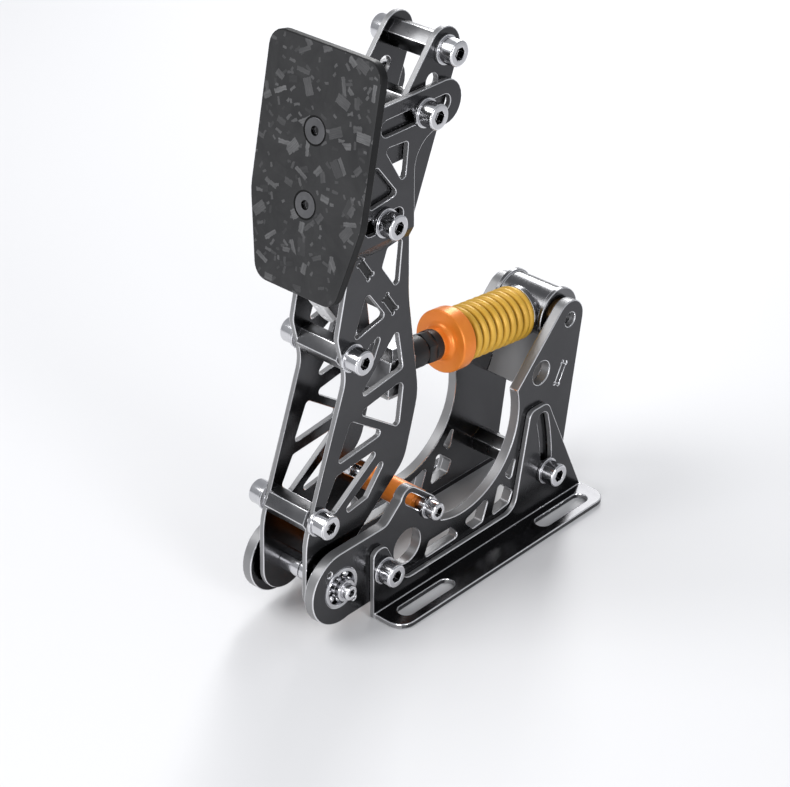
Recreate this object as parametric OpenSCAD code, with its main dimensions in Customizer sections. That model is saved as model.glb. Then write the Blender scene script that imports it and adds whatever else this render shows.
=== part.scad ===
// One pedal of a driving rig. Two floor brackets carry a frame of two side plates that can be tilted.
// An arm of two joggled plates turns in the frame on ball bearings and carries a face that slides
// along two slots. A push rod from the arm slides through a trunnion in the frame against a coil spring.
// Millimetres. X points the way the foot pushes, Y points left and Z points up from the floor.

/* [Floor brackets] */
// Sheet thickness of the brackets
bracket_t = 3; // [2.5:0.1:3.5]
// Length of the floor flange
flange_len = 168; // [165:1:174]
// Reach of the flange outside the web
flange_w = 19; // [18:0.5:22]
// Corner radius of the flange
flange_corner = 9; // [5:0.5:11]
// Width of the floor slots
floor_slot_w = 9; // [8.4:0.1:10]
// Length of the floor slots, end to end
floor_slot_len = 40; // [32:1:44]
// Distance between the front and rear slots
floor_slot_pitch = 110; // [106:1:114]
// Slot centreline, measured from the outside of the web
floor_slot_set = 9.5; // [9:0.25:10.5]
// Height of the low middle stretch of the web
web_h = 12.5; // [10:0.5:15]
// Height of the front lug
lug_h = 41; // [39:0.5:44]
// Reach of the front lug before its bolt
lug_reach = 7; // [6.5:0.25:8]
// Height of the slotted rear tower
tower_h = 69; // [68:0.5:74]
// Angle that the slot in the tower lets the frame tilt
tilt_range = 15; // [10:0.5:15]
// Width of the slot in the tower
tilt_slot_w = 9; // [8.4:0.1:9.6]

/* [Frame] */
// Thickness of the side plates
base_t = 6; // [5:0.25:7]
// Room between the arm and each side plate
base_clear = 2.5; // [2.2:0.1:3.5]
// Height of the lower edge of the side plates over the floor
base_floor = 9; // [8.5:0.25:10]
// Height of the pivot over the floor
pivot_z = 29; // [28:0.5:30]
// Place of the pivot before the middle of the floor slots
pivot_set = 105; // [103:0.5:107]
// Radius of the plate eye round the pivot bearing
eye_r = 20.5; // [19.5:0.25:22]
// Height of the side plates behind the eye
base_top = 49.5; // [47:0.5:51]
// Radius of the open bay under the spring
bay_r = 43.8; // [41:0.2:45]
// Height of the trunnion over the floor
trunnion_z = 110.3; // [108:0.1:112]
// Place of the trunnion behind the middle of the floor slots
trunnion_set = 72; // [71:0.25:74]
// Radius of the rounded head of the tower
tip_r = 11; // [10:0.25:12]
// Distance between the front and rear bracket bolts
tilt_r = 129.5; // [128.5:0.25:130.5]
// Radius of the round window in each side plate
window_r = 10; // [7:0.5:11]
// Radius of the round hole in each tower
tower_hole_r = 6.8; // [4:0.2:8]
// Travel of the stop bar along its slot
stop_run = 18; // [12:0.5:20]
// Slope of the stop slot
stop_slope = 40; // [36:1:44]
// Diameter of the stop bar
stop_bar_d = 14; // [12:0.5:15]
// Width of the plate left round the stop slot
stop_wall = 3.4; // [2.6:0.2:4.4]
// Thickness of the tie plates
tie_t = 4; // [3:0.25:5]
// Length of the tower tie plate
tower_tie_len = 30; // [24:1:34]
// Length of the tabs on the tie plates
tab_len = 12; // [9:0.5:13]
// Depth of the tab ends under the outer faces of the arm plates
tab_set = 1.2; // [0.4:0.1:1.6]

/* [Arm] */
// Width between the arm plates, the length of their hexagon bars
arm_gap = 27; // [25:0.5:29]
// Thickness of the arm plates
arm_t = 3; // [2.5:0.1:3.4]
// Radius of the foot of the arm round the pivot
arm_foot_r = 16.5; // [15:0.25:17.5]
// Height over the pivot where the plates step outward
joggle_z = 173; // [172:0.25:174]
// Height taken by that step
joggle_h = 6; // [4:0.25:6.5]
// Length of the upper adjusting slot, end to end
slot_1_len = 48; // [44:1:48]
// Length of the lower adjusting slot, end to end
slot_2_len = 26.5; // [25:0.5:28]
// Room round a bolt in an adjusting slot
slot_room = 0.3; // [0.2:0.05:0.5]
// Width across the flats of the hexagon bars
hex_af = 13; // [12:0.25:14]

/* [Face] */
// Thickness of the face plate
face_t = 5; // [4:0.25:6]
// Height of the face plate
face_h = 121; // [116:1:126]
// Width of the face at its top edge
face_top_w = 71; // [66:0.5:74]
// Width of the face where it is widest
face_mid_w = 71.5; // [69:0.5:76]
// Width of the face at its lower edge
face_low_w = 51.5; // [46:0.5:58]
// Height of the tapered lower stretch
face_taper_h = 42; // [36:1:48]
// Corner radius of the face
face_corner = 9; // [6:0.5:11]
// Height of the middle of the face over the pivot
face_z = 221.2; // [219:0.2:224]
// Lean of the face from upright
face_lean = 12; // [11:0.25:13]
// Distance between the two face screws
face_pitch = 36; // [32:0.5:40]
// Thickness of the plate that the face is screwed to
face_mount_t = 4; // [3:0.25:5]
// Width of the bent tongue under the face
tongue_w = 9; // [8:0.25:10]
// Thickness of that tongue
tongue_t = 2.5; // [2:0.1:3]
// Thickness of the carriers
carrier_t = 3; // [2.5:0.1:3]
// Radius of the head of the carriers
carrier_head_r = 11; // [10:0.25:12]
// Height of the head of the carriers over the pivot
head_z = 262; // [259:0.5:265]

/* [Bearings and pins] */
// Bore of the pivot bearings
bearing_bore = 8; // [7:0.25:8.5]
// Outside diameter of the pivot bearings
bearing_od = 22; // [21:0.25:23]
// Width of the pivot bearings
bearing_w = 7; // [6.5:0.1:7.6]
// Balls in each bearing
balls = 8; // [6:1:8]
// Diameter of the sleeves on the pivot shaft
sleeve_d = 12; // [11:0.25:14]
// Diameter of the pin through the rod eye
pin_d = 6.5; // [5.5:0.25:7]
// Depth of the blind holes for that pin in the arm plates
pin_in = 2; // [1.4:0.1:2.1]
// Diameter of the trunnion journals
journal_d = 8; // [7:0.25:9]
// Reach of the trunnion journals into the side plates
journal_in = 3; // [2.5:0.25:4]
// Diameter of the trunnion barrel
barrel_d = 28; // [26:0.5:29]

/* [Push rod and spring] */
// Diameter of the guide rod
rod_d = 10; // [9:0.25:10.5]
// Room round the guide rod in the trunnion
rod_room = 0.5; // [0.4:0.05:0.8]
// Diameter of the load cell
cell_d = 17; // [15:0.5:20]
// Length of the load cell
cell_len = 16; // [13:0.5:17]
// Outside diameter of the spring cup
cup_d = 34; // [33.5:0.25:36]
// Length of the rim of the spring cup
cup_rim = 9; // [7:0.25:10]
// Outside diameter of the spring
spring_d = 30; // [28.5:0.25:30.5]
// Wire diameter of the spring
wire_d = 3.8; // [3.2:0.1:4]
// Turns of the spring
spring_turns = 9; // [8:0.5:9.5]

/* [Fasteners] */
// Shank of the large bolts
bolt_d = 8; // [7.6:0.1:8]
// Head diameter of the large bolts
head_d = 13; // [12:0.25:14]
// Head height of the large bolts
head_h = 8; // [7:0.25:8.5]
// Washer diameter under the large bolts
washer_d = 15; // [14.5:0.25:16.5]
// Thickness of the washers
washer_t = 1.6; // [1.2:0.1:2]
// Shank of the stop bolts
stop_bolt_d = 6; // [5.5:0.1:6.4]
// Head diameter of the stop bolts
stop_head_d = 10; // [9:0.25:11]
// Washer diameter under the stop bolts
stop_washer_d = 12; // [11:0.25:13]
// Shank of the face screws
screw_d = 6; // [5:0.1:6.5]
// Head diameter of the face screws
screw_head_d = 12.6; // [11:0.2:13.4]

/* [Clearances] */
// Gap between faces that slide on each other
slide_gap = 0.15; // [0.1:0.01:0.2]
// Radial play of a turning pin
run_fit = 0.05; // [0.04:0.005:0.08]
// Radial play of a fixed pin or screw
seat_fit = 0.04; // [0.03:0.005:0.08]

/* [Hidden] */
$fn = 48;

arm_in = arm_gap / 2;
arm_out = arm_in + arm_t;
up_in = arm_out + slide_gap;
up_out = up_in + arm_t;
base_in = arm_out + base_clear;
base_out = base_in + base_t;
web_in = base_out + slide_gap;
web_out = web_in + bracket_t;
pivot = [-pivot_set, pivot_z];
front_bolt = [-77.5, 27.5];
rear_bolt = front_bolt + tilt_r * [cos(-0.5), sin(-0.5)];
bay = [-12.5, 73];
tip = [trunnion_set, trunnion_z];
stop_at = [-40.3, 46];
stop_dir = [-cos(stop_slope), sin(stop_slope)];
stop_end = stop_at + stop_run * stop_dir;
finger_r = stop_bolt_d / 2 + slot_room + stop_wall;
tie_at = tip - [6.6, 30.1];
tie_turn = 61.4;
middle_at = pivot + [17.8, 122.7];
lower_at = pivot + [-7.3, 39.7];
pin_at = pivot + [58.9, 94.9];
up_z = joggle_z + joggle_h;
tab_1 = [28.4, 166.2];
tab_2 = [45.6, 140.8];
tab_turn = atan2(tab_2[1] - tab_1[1], tab_2[0] - tab_1[0]);
clamp_1 = [66, 236.5];
clamp_2 = [38.2, up_z + 10];
carrier_head = [83.5, head_z];
slot_1_mid = 60.4;
slot_2_mid = 38.25;
face_mid = [8.7, face_z];
face_back = face_t + face_mount_t;
bolt_hole = bolt_d / 2 + seat_fit;
bar_grip = 11;
spring_r = (spring_d - wire_d) / 2;
rod_turn = atan2(pin_at[1] - tip[1], tip[0] - pin_at[0]);
rod_len = norm(tip - pin_at);
eye_half = arm_in - 1.5;
cell_at = 10;
nut_at = cell_at + cell_len;
sleeve_at = nut_at + 6;
cup_at = 36.84;
cup_face = cup_at + 5.7;
cup_floor = cup_face + 4;
seat_at = rod_len - 17;

function unit(v) = v / norm(v);
function turn_of(v) = atan2(v[1], v[0]);
function wrap(a) = a > 180 ? a - 360 : a < -180 ? a + 360 : a;
function flat(v) = [v[0], v[1]];
function arc(c, r, a, b, n) = [for (i = [0:n]) c + r * [cos(a + (b - a) * i / n), sin(a + (b - a) * i / n)]];
function corner(p, q, s) =
    let (u = unit(flat(p) - flat(q)), w = unit(flat(s) - flat(q)), r = q[2])
    let (half = acos(max(-1, min(1, u * w))) / 2)
    let (c = flat(q) + unit(u + w) * r / sin(half), d = r / tan(half))
    let (a = turn_of(flat(q) + u * d - c), b = turn_of(flat(q) + w * d - c))
    let (n = max(2, ceil(abs(wrap(b - a)) / (r > 15 ? 8 : 15))))
    arc(c, r, a, a + wrap(b - a), n);
function rounded(v) =
    [for (i = [0:len(v) - 1]) each len(v[i]) < 3 ? [v[i]] :
        corner(v[(i + len(v) - 1) % len(v)], v[i], v[(i + 1) % len(v)])];

// Draws an outline given in X and Z as a plate from y0 outward
module plate(y0, t) {
    translate([0, y0 + t, 0]) rotate([90, 0, 0]) linear_extrude(t) children();
}

// Repeats a left-hand piece on the right
module both_sides() {
    children();
    mirror([0, 1, 0]) children();
}

// Turns the upright axis of a piece so that it points left from a place in X and Z
module leftward(at, y) {
    translate([at[0], y, at[1]]) rotate([-90, 0, 0]) children();
}

// A slot with round ends, lying along X
module stadium(length, width) {
    translate([-(length - width) / 2, 0]) circle(d = width);
    translate([(length - width) / 2, 0]) circle(d = width);
    translate([-(length - width) / 2, -width / 2]) square([length - width, width]);
}

// A slot for a tab with relief circles at its corners
module tab_slot(length, width) {
    square([length, width], center = true);
    for (i = [-1, 1], j = [-1, 1]) translate([i * length / 2, j * (width / 2 - 0.3)]) circle(d = 1.8);
}

// A socket head bolt whose head rests on the level zero
module socket_bolt(shank, head, height, key, length) {
    difference() {
        union() {
            cylinder(d = head, h = height - 0.7);
            translate([0, 0, height - 0.7]) cylinder(d1 = head, d2 = head - 1.4, h = 0.7);
            translate([0, 0, -length]) cylinder(d = shank, h = length);
        }
        translate([0, 0, height / 2]) cylinder(d = key / cos(30), h = height, $fn = 6);
    }
}

// A plain ring standing on the level zero
module ring(outer, inner, height) {
    difference() {
        cylinder(d = outer, h = height);
        translate([0, 0, -1]) cylinder(d = inner, h = height + 2);
    }
}

// A hexagon bar across the middle, bored at both ends for its bolts
module hex_bar(at, half, turn) {
    difference() {
        leftward(at, -half) rotate(turn) cylinder(d = hex_af / cos(30), h = 2 * half, $fn = 6);
        leftward(at, half - bar_grip - 2) cylinder(r = bolt_hole, h = bar_grip + 3);
        leftward(at, -half - 1) cylinder(r = bolt_hole, h = bar_grip + 3);
    }
}

// A pair of large bolts whose washers rest on the level y
module bolt_pair(at, y, inner) {
    both_sides() leftward(at, y + washer_t)
        socket_bolt(bolt_d, head_d, head_h, 6, y + washer_t - inner + bar_grip);
}

// The washers under such a pair
module washer_pair(at, y) {
    both_sides() leftward(at, y) ring(washer_d, 2 * bolt_hole, washer_t);
}

// Floor brackets

module web_outline() {
    front = front_bolt[0] - lug_reach;
    slot_a = turn_of(rear_bolt - front_bolt);
    difference() {
        polygon(rounded([[front, 0], [front, lug_h, 5], [front_bolt[0] + 2.5, lug_h, 5],
            [front_bolt[0] + 16.5, web_h, 9], [rear_bolt[0] - 25.5, web_h, 9],
            [rear_bolt[0] - 14.2, tower_h, 5], [rear_bolt[0] + 0.5, tower_h, 6],
            [flange_len / 2 - 3, 7, 6], [flange_len / 2, 0]]));
        polygon(concat(
            arc(front_bolt, tilt_r + tilt_slot_w / 2, slot_a, slot_a + tilt_range, 10),
            arc(front_bolt + tilt_r * [cos(slot_a + tilt_range), sin(slot_a + tilt_range)],
                tilt_slot_w / 2, slot_a + tilt_range + 15, slot_a + tilt_range + 165, 10),
            arc(front_bolt, tilt_r - tilt_slot_w / 2, slot_a + tilt_range, slot_a, 10),
            arc(rear_bolt, tilt_slot_w / 2, slot_a + 195, slot_a + 345, 10)));
    }
}

module flange_outline() {
    half = flange_len / 2;
    edge = web_out + flange_w;
    difference() {
        polygon(rounded([[-half, web_in], [-half, edge, flange_corner], [half, edge, flange_corner],
            [half, web_in]]));
        for (x = [-0.5, 0.5]) translate([x * floor_slot_pitch, web_out + floor_slot_set])
            stadium(floor_slot_len, floor_slot_w);
    }
}

module floor_bracket() {
    color([0.30, 0.30, 0.31]) difference() {
        union() {
            plate(web_in, bracket_t) web_outline();
            linear_extrude(bracket_t) flange_outline();
        }
        leftward(front_bolt, web_in - 1) cylinder(r = bolt_d / 2 + run_fit, h = bracket_t + 2);
    }
}

module floor_bracket_left() {
    floor_bracket();
}

module floor_bracket_right() {
    mirror([0, 1, 0]) floor_bracket();
}

// Frame of side plates

module base_outline() {
    low_a = 360 - asin(min(1, (pivot_z - base_floor) / eye_r));
    top_a = asin(min(1, (base_top - pivot_z) / eye_r));
    horn_a = 90 - stop_slope;
    difference() {
        polygon(rounded(concat(
            arc(pivot, eye_r, low_a, top_a, 26),
            [[-71.5, base_top, 7]],
            arc(stop_end, finger_r, 165, horn_a, 8),
            arc(stop_at, finger_r, horn_a, -12, 5),
            arc(bay, bay_r, -113, 15, 26),
            arc(tip, tip_r, 133, -10, 14),
            [[rear_bolt[0] + 14.5, base_floor, 5]])));
        translate([-56, 29.5]) circle(r = window_r);
        translate([49.1, 87.3]) circle(r = tower_hole_r);
        polygon(rounded([[-43, 15, 2], [-39, 24, 2], [-22, 24, 2], [-14.5, 15.5, 2]]));
        polygon(rounded([[-11.5, 22.5, 2], [-4, 14.5, 2], [3.5, 15, 2], [8.5, 28.5, 2]]));
        polygon(rounded([[11, 15, 2], [16.5, 33, 2], [28, 23, 2], [25, 16.5, 2]]));
        polygon(rounded([[21.5, 36, 1.4], [26.5, 31, 1.4], [31, 47, 1.4]]));
        translate(stop_at + stop_dir * stop_run / 2) rotate(-stop_slope)
            stadium(stop_run + stop_bolt_d + 2 * slot_room, stop_bolt_d + 2 * slot_room);
        translate(tie_at) rotate(tie_turn) tab_slot(tab_len + 2 * seat_fit, tie_t + 2 * seat_fit);
    }
}

module base_plate() {
    color([0.33, 0.33, 0.34]) difference() {
        plate(base_in, base_t) base_outline();
        leftward(pivot, base_in - 1) cylinder(d = bearing_od + 2 * seat_fit, h = base_t + 2);
        for (a = [124, -50]) leftward(pivot + (bearing_od / 2 + 3) * [cos(a), sin(a)], base_in - 1)
            cylinder(d = 3, h = base_t + 2);
        for (at = [front_bolt, rear_bolt]) leftward(at, base_in - 1) cylinder(r = bolt_hole, h = base_t + 2);
        leftward(tip, base_in - 1) cylinder(d = journal_d + 2 * run_fit, h = base_t + 2);
    }
}

module base_plate_left() {
    base_plate();
}

module base_plate_right() {
    mirror([0, 1, 0]) base_plate();
}

module front_cross_bar() {
    color([0.80, 0.32, 0.06]) difference() {
        leftward(front_bolt, -base_in) cylinder(d = hex_af, h = 2 * base_in);
        leftward(front_bolt, base_in - bar_grip - 2) cylinder(r = bolt_hole, h = bar_grip + 3);
        leftward(front_bolt, -base_in - 1) cylinder(r = bolt_hole, h = bar_grip + 3);
    }
}

module rear_cross_bar() {
    color([0.28, 0.28, 0.29]) hex_bar(rear_bolt, base_in, 30);
}

module tower_tie_plate() {
    color([0.30, 0.30, 0.31]) translate([tie_at[0], 0, tie_at[1]]) rotate([0, -tie_turn, 0]) {
        cube([tower_tie_len, 2 * base_in, tie_t], center = true);
        cube([tab_len, 2 * base_out, tie_t], center = true);
    }
}

module frame_bolts() {
    color([0.78, 0.78, 0.80]) for (at = [front_bolt, rear_bolt])
        bolt_pair(at, web_out + slide_gap, base_in);
}

module frame_washers() {
    color([0.72, 0.72, 0.74]) for (at = [front_bolt, rear_bolt]) washer_pair(at, web_out + slide_gap);
}

// Pivot bearings

bearing_mid = base_in + base_t / 2;
bearing_face = bearing_mid + bearing_w / 2;
ball_pitch = (bearing_bore + bearing_od) / 4;
ball_r = 0.155 * (bearing_od - bearing_bore);
race = 0.12 * (bearing_od - bearing_bore);

module groove() {
    rotate_extrude() translate([ball_pitch, 0]) circle(r = ball_r + run_fit, $fn = 24);
}

module bearing_outer_rings() {
    color([0.70, 0.70, 0.72]) both_sides() leftward(pivot, bearing_mid) difference() {
        translate([0, 0, -bearing_w / 2]) ring(bearing_od, bearing_od - 2 * race, bearing_w);
        groove();
    }
}

module bearing_balls() {
    color([0.85, 0.85, 0.86]) both_sides() leftward(pivot, bearing_mid)
        for (i = [0:balls - 1]) rotate(360 * i / balls) translate([ball_pitch, 0, 0])
            sphere(r = ball_r, $fn = 24);
}

module bearing_inner_rings() {
    color([0.70, 0.70, 0.72]) both_sides() leftward(pivot, bearing_mid) difference() {
        translate([0, 0, -bearing_w / 2])
            ring(bearing_bore + 2 * race, bearing_bore + 2 * seat_fit, bearing_w);
        groove();
    }
}

// Stop bar

module stop_bar() {
    half = base_in - slide_gap;
    color([0.80, 0.32, 0.06]) difference() {
        leftward(stop_at, -half) cylinder(d = stop_bar_d, h = 2 * half);
        both_sides() leftward(stop_at, half - bar_grip - 2)
            cylinder(d = stop_bolt_d + 2 * seat_fit, h = bar_grip + 3);
    }
}

module stop_bolts() {
    lift = base_out + slide_gap + washer_t;
    color([0.78, 0.78, 0.80]) both_sides() leftward(stop_at, lift)
        socket_bolt(stop_bolt_d, stop_head_d, 6, 5, lift - base_in + bar_grip);
}

module stop_washers() {
    color([0.72, 0.72, 0.74]) both_sides() leftward(stop_at, base_out + slide_gap)
        ring(stop_washer_d, stop_bolt_d + 2 * seat_fit, washer_t);
}

// Arm

module arm_outline() {
    slot_w = bolt_d + 2 * slot_room;
    difference() {
        polygon(rounded(concat(
            [[-15.5, 30, 40], [14.2, 112, 20], [8.6, 135.5, 9], [21, 186], [31, 248, 5], [92.5, 248, 11.4],
                [92.5, 225, 11.4], [59.6, 225, 17], [59.2, 140, 80], [66.5, 82, 34], [56, 46.4, 20],
                [16.4, 13.6, 6]],
            arc([0, 0], arm_foot_r, 0, -180, 22))));
        translate([slot_1_mid, clamp_1[1]]) stadium(slot_1_len, slot_w);
        translate([slot_2_mid, clamp_2[1]]) stadium(slot_2_len, slot_w);
        for (at = [tab_1, tab_2]) translate(at) rotate(tab_turn)
            tab_slot(tab_len + 2 * seat_fit, tie_t + 2 * seat_fit);
        polygon(rounded([[38.5, 226.5, 2], [55, 225.5, 2], [52.5, 203, 2]]));
        polygon(rounded([[31.6, 221.5, 2], [48, 200.5, 2], [27.8, 198.2, 2]]));
        polygon(rounded([[40, 162.9, 2], [43.9, 172, 2], [54.4, 173.6, 2], [51.3, 146.4, 2]]));
        polygon(rounded([[29.4, 153.5, 2], [42.5, 135.5, 2], [19.5, 130, 2]]));
        polygon(rounded([[40, 127.5, 1.6], [33, 112.5, 1.6], [27, 121, 1.6]]));
        polygon(rounded([[51, 125, 2], [55, 100.8, 2], [22.5, 96, 2]]));
        polygon(rounded([[55.5, 94, 3.5], [51.8, 68, 2], [22.5, 88.5, 2]]));
        polygon(rounded([[17.2, 86.5, 2], [41.5, 69.5, 2], [7, 65.5, 2]]));
        polygon(rounded([[6.5, 59.5, 2], [39.6, 62.2, 2], [4.6, 38.2, 2], [-2, 45, 2]]));
        polygon(rounded([[47.1, 59.2, 1.9], [28.4, 36.5, 2], [6.5, 33.3, 2]]));
    }
}

module joggle_profile() {
    low = -2 * arm_foot_r;
    high = clamp_1[1] + 40;
    polygon([[arm_in, low], [arm_out, low], [arm_out, joggle_z], [up_out, up_z], [up_out, high],
        [up_in, high], [up_in, up_z], [arm_in, joggle_z]]);
}

module arm_plate() {
    color([0.33, 0.33, 0.34]) difference() {
        translate([pivot[0], 0, pivot[1]]) intersection() {
            plate(arm_in - 1, up_out - arm_in + 2) arm_outline();
            translate([-40, 0, 0]) rotate([90, 0, 90]) linear_extrude(160) joggle_profile();
        }
        leftward(pivot, arm_in - 1) cylinder(d = bearing_bore + 2 * seat_fit, h = arm_t + 2);
        leftward(pin_at, arm_in - 1) cylinder(d = pin_d + 2 * seat_fit, h = pin_in + 1.1);
        for (at = [middle_at, lower_at]) leftward(at, arm_in - 1) cylinder(r = bolt_hole, h = arm_t + 2);
    }
}

module arm_plate_left() {
    arm_plate();
}

module arm_plate_right() {
    mirror([0, 1, 0]) arm_plate();
}

module middle_bar() {
    color([0.28, 0.28, 0.29]) hex_bar(middle_at, arm_in, 0);
}

module lower_bar() {
    color([0.28, 0.28, 0.29]) hex_bar(lower_at, arm_in, 0);
}

module arm_tie_plate() {
    mid = pivot + (tab_1 + tab_2) / 2;
    span = norm(tab_2 - tab_1);
    color([0.30, 0.30, 0.31]) translate([mid[0], 0, mid[1]]) rotate([0, -tab_turn, 0]) {
        cube([span + tab_len + 4, 2 * arm_in, tie_t], center = true);
        for (i = [-0.5, 0.5]) translate([i * span, 0, 0])
            cube([tab_len, 2 * (arm_out - tab_set), tie_t], center = true);
    }
}

collar_t = 3.5;

module pivot_shaft() {
    half = bearing_face + 2 * collar_t;
    color([0.72, 0.72, 0.74]) difference() {
        leftward(pivot, -half) {
            cylinder(d1 = bearing_bore - 1.2, d2 = bearing_bore, h = 0.6);
            translate([0, 0, 0.6]) cylinder(d = bearing_bore, h = 2 * half - 1.2);
            translate([0, 0, 2 * half - 0.6]) cylinder(d1 = bearing_bore, d2 = bearing_bore - 1.2, h = 0.6);
        }
        both_sides() leftward(pivot, half - 3) cylinder(d = 4 / cos(30), h = 4, $fn = 6);
    }
}

module pivot_sleeves() {
    color([0.75, 0.75, 0.77]) both_sides() leftward(pivot, 0.3)
        ring(sleeve_d, bearing_bore + 2 * seat_fit, arm_in - 0.3);
}

module shaft_spacers() {
    color([0.62, 0.62, 0.64]) both_sides() leftward(pivot, arm_out)
        ring(bearing_bore + 2 * race, bearing_bore + 2 * seat_fit, bearing_mid - bearing_w / 2 - arm_out);
}

module shaft_collars() {
    color([0.62, 0.62, 0.64]) both_sides() leftward(pivot, bearing_face)
        ring(bearing_bore + 3.6, bearing_bore + 2 * seat_fit, collar_t);
}

module arm_bolts() {
    color([0.78, 0.78, 0.80]) for (at = [middle_at, lower_at]) bolt_pair(at, arm_out, arm_in);
}

module arm_washers() {
    color([0.72, 0.72, 0.74]) for (at = [middle_at, lower_at]) washer_pair(at, arm_out);
}

module rod_pin() {
    color([0.72, 0.72, 0.74]) leftward(pin_at, -arm_in - pin_in)
        cylinder(d = pin_d, h = 2 * (arm_in + pin_in));
}

module pin_spacers() {
    color([0.62, 0.62, 0.64]) both_sides() leftward(pin_at, eye_half + slide_gap)
        ring(pin_d + 5, pin_d + 2 * seat_fit, arm_in - eye_half - slide_gap);
}

// Face carrier

function face_line(z) = face_mid[0] + face_back / cos(face_lean) + (z - face_mid[1]) * tan(face_lean);

module carrier_outline() {
    difference() {
        polygon(rounded(concat(
            [[face_line(241), 241], [52, 241, 6]],
            arc(carrier_head, carrier_head_r, 140.3, -22.6, 14),
            [[61.5, up_z + 1.5, 4], [38, up_z + 1.5, 8], [face_line(190), 190]])));
        translate(carrier_head - [9, 13.5]) circle(d = 8);
        polygon(rounded([[41, 215, 2.5], [59, 215, 2.5], [53, 197, 2.5]]));
    }
}

module carrier() {
    color([0.33, 0.33, 0.34]) translate([pivot[0], 0, pivot[1]]) difference() {
        plate(arm_out - carrier_t, carrier_t) carrier_outline();
        for (at = [clamp_1, clamp_2, carrier_head]) leftward(at, arm_out - carrier_t - 1)
            cylinder(r = bolt_hole, h = carrier_t + 2);
    }
}

module carrier_left() {
    carrier();
}

module carrier_right() {
    mirror([0, 1, 0]) carrier();
}

carrier_in = arm_out - carrier_t;

module carrier_top_bar() {
    color([0.28, 0.28, 0.29]) hex_bar(pivot + carrier_head, carrier_in, 20);
}

module upper_clamp_bar() {
    color([0.28, 0.28, 0.29]) hex_bar(pivot + clamp_1, carrier_in, 0);
}

module lower_clamp_bar() {
    color([0.28, 0.28, 0.29]) hex_bar(pivot + clamp_2, carrier_in, 0);
}

module carrier_bolts() {
    color([0.78, 0.78, 0.80]) {
        bolt_pair(pivot + carrier_head, arm_out, carrier_in);
        bolt_pair(pivot + clamp_1, up_out + slide_gap, carrier_in);
        bolt_pair(pivot + clamp_2, up_out + slide_gap, carrier_in);
    }
}

module carrier_washers() {
    color([0.72, 0.72, 0.74]) {
        washer_pair(pivot + carrier_head, arm_out);
        washer_pair(pivot + clamp_1, up_out + slide_gap);
        washer_pair(pivot + clamp_2, up_out + slide_gap);
    }
}

// Sets a drawing on the leaning front of the face, its thickness pointing at the foot
module on_face() {
    at = pivot + face_mid;
    translate([at[0], 0, at[1]]) rotate([0, face_lean, 0]) rotate([0, 0, -90]) rotate([90, 0, 0]) children();
}

module face_mount_plate() {
    low = (190 - face_mid[1]) / cos(face_lean) - face_back * tan(face_lean);
    high = face_pitch / 2 + 4.8;
    color([0.30, 0.30, 0.31]) on_face() difference() {
        translate([-arm_out, low, -face_back]) cube([2 * arm_out, high - low, face_mount_t]);
        for (y = [-0.5, 0.5]) translate([0, y * face_pitch, -face_back - 1])
            cylinder(d = screw_d + 2 * seat_fit, h = face_mount_t + 2);
    }
    color([0.30, 0.30, 0.31]) on_face() tongue(low + 1);
}

// A narrow tongue down the back of the face, bent away under its lower edge and pierced twice
module tongue(from) {
    bend = 1.7 - face_h / 2;
    run = 33.2 - tongue_w / 2;
    translate([-tongue_w / 2, bend, -face_t - tongue_t]) cube([tongue_w, from - bend, tongue_t]);
    translate([0, bend, -face_t]) rotate([46, 0, 0]) translate([0, 0, -tongue_t])
        linear_extrude(tongue_t) difference() {
            union() {
                translate([-tongue_w / 2, -run]) square([tongue_w, run]);
                translate([0, -run]) circle(d = tongue_w);
            }
            for (y = [-run, 9.6 - run]) translate([0, y]) circle(d = 3);
        }
}

screw_cone = (screw_head_d - screw_d) / 2;

module face_plate() {
    top = face_h / 2 - 1.5;
    low = top - face_h;
    taper = low + face_taper_h;
    color([0.12, 0.12, 0.13]) on_face() difference() {
        translate([0, 0, -face_t]) linear_extrude(face_t) polygon(rounded([
            [-face_top_w / 2, top, face_corner], [face_top_w / 2, top, face_corner],
            [face_mid_w / 2, taper, 30], [face_low_w / 2, low, face_corner],
            [-face_low_w / 2, low, face_corner], [-face_mid_w / 2, taper, 30]]));
        for (y = [-0.5, 0.5]) translate([0, y * face_pitch, 0]) {
            translate([0, 0, -face_t - 1]) cylinder(d = screw_d + 2 * seat_fit, h = face_t + 2);
            translate([0, 0, -screw_cone]) cylinder(d1 = screw_d + 2 * seat_fit,
                d2 = screw_head_d + 2 * seat_fit, h = screw_cone + 0.001);
        }
    }
}

module face_screws() {
    color([0.55, 0.55, 0.57]) on_face() for (y = [-0.5, 0.5]) translate([0, y * face_pitch, 0]) difference() {
        union() {
            translate([0, 0, -face_back]) cylinder(d = screw_d, h = face_back - screw_cone);
            translate([0, 0, -screw_cone]) cylinder(d1 = screw_d, d2 = screw_head_d, h = screw_cone);
        }
        translate([0, 0, -2.4]) cylinder(d = 4 / cos(30), h = 4, $fn = 6);
    }
}

// Push rod

// Sets a drawing on the rod, upright becoming the way from the arm to the trunnion
module on_rod() {
    translate([pin_at[0], 0, pin_at[1]]) rotate([0, 90 + rod_turn, 0]) children();
}

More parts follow.
